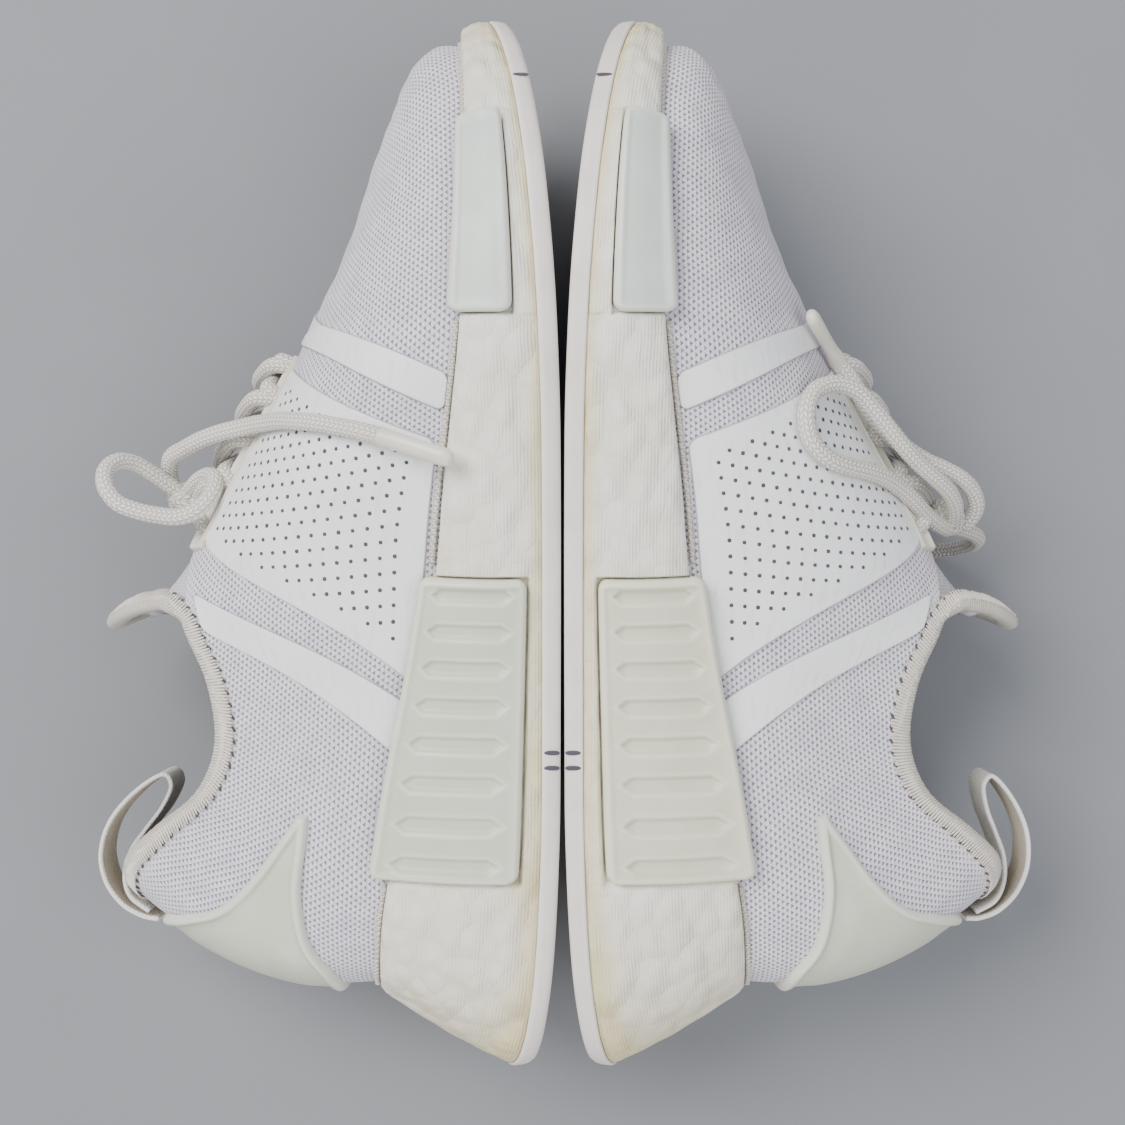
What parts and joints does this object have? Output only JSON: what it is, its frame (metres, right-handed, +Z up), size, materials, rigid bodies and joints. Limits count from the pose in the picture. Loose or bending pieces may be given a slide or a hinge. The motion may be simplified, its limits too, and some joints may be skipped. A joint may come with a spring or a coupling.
{
  "type": "pair of running shoes",
  "caption": "Pair of knitted sock-fit running shoes with foam soles, sole plugs, moulded heel caps, round laces and webbing pull tabs, lying sole to sole.",
  "frame": {"origin": "middle of the bounding box of the two shoes without their laces, on the floor that the pair lies on", "axes": "+Y towards the toes, +Z up to the outer sides of the shoes, X across the pair through the two soles"},
  "size_m": [0.2684, 0.3, 0.1093],
  "materials": {
    "outsole_rubber": "satin",
    "midsole_foam": "soft satin",
    "sole_plug": "waxy satin",
    "strobel_board": "matt",
    "insole_foam": "matt",
    "knit": "matt knit",
    "lining": "matt",
    "binding": "stitched",
    "tongue_knit": "matt knit",
    "eyestay": "matt",
    "film_overlay": "satin",
    "heel_cap": "satin",
    "toe_puff": "matt",
    "webbing": "woven",
    "lace": "braided",
    "aglet": "semi-gloss"
  },
  "bodies": {
    "right_shoe": {"right_outsole": "outsole_rubber", "right_midsole": "midsole_foam", "right_lateral_front_plug": "sole_plug", "right_lateral_rear_plug": "sole_plug", "right_medial_front_plug": "sole_plug", "right_medial_rear_plug": "sole_plug", "right_strobel_board": "strobel_board", "right_insole": "insole_foam", "right_upper": "knit", "right_collar_lining": "lining", "right_collar_binding": "binding", "right_tongue": "tongue_knit", "right_lateral_eyestay": "eyestay", "right_medial_eyestay": "eyestay", "right_toe_band": "film_overlay", "right_lateral_saddle": "film_overlay", "right_medial_saddle": "film_overlay", "right_lateral_heel_band": "film_overlay", "right_medial_heel_band": "film_overlay", "right_heel_cap": "heel_cap", "right_toe_puff": "toe_puff", "right_lace_crossings": "lace", "right_lace_knot": "lace", "right_lace_loop": "lace", "right_lateral_lace_end": "lace", "right_medial_lace_end": "lace", "right_lateral_aglet": "aglet", "right_medial_aglet": "aglet"},
    "left_shoe": {"left_outsole": "outsole_rubber", "left_midsole": "midsole_foam", "left_lateral_front_plug": "sole_plug", "left_lateral_rear_plug": "sole_plug", "left_medial_front_plug": "sole_plug", "left_medial_rear_plug": "sole_plug", "left_strobel_board": "strobel_board", "left_insole": "insole_foam", "left_upper": "knit", "left_collar_lining": "lining", "left_collar_binding": "binding", "left_tongue": "tongue_knit", "left_lateral_eyestay": "eyestay", "left_medial_eyestay": "eyestay", "left_toe_band": "film_overlay", "left_lateral_saddle": "film_overlay", "left_medial_saddle": "film_overlay", "left_lateral_heel_band": "film_overlay", "left_medial_heel_band": "film_overlay", "left_heel_cap": "heel_cap", "left_toe_puff": "toe_puff", "left_lace_crossings": "lace", "left_lace_knot": "lace", "left_lace_loop": "lace", "left_lateral_lace_end": "lace", "left_medial_lace_end": "lace", "left_lateral_aglet": "aglet", "left_medial_aglet": "aglet"},
    "right_tab": {"right_pull_tab": "webbing"},
    "left_tab": {"left_pull_tab": "webbing"}
  },
  "joints": [
    {"name": "shoes_part", "type": "slide", "parent": "right_shoe", "child": "left_shoe", "axis": [1, 0, 0], "range_m": [0, 0.12]},
    {"name": "right_tab_fold", "type": "hinge", "parent": "right_shoe", "child": "right_tab", "pos_m": [-0.1175, -0.1049, 0.0405], "axis": [0, 0, 1], "range_deg": [-3, 60]},
    {"name": "left_tab_fold", "type": "hinge", "parent": "left_shoe", "child": "left_tab", "pos_m": [0.1175, -0.1049, 0.0405], "axis": [0, 0, -1], "range_deg": [-10, 50]}
  ]
}
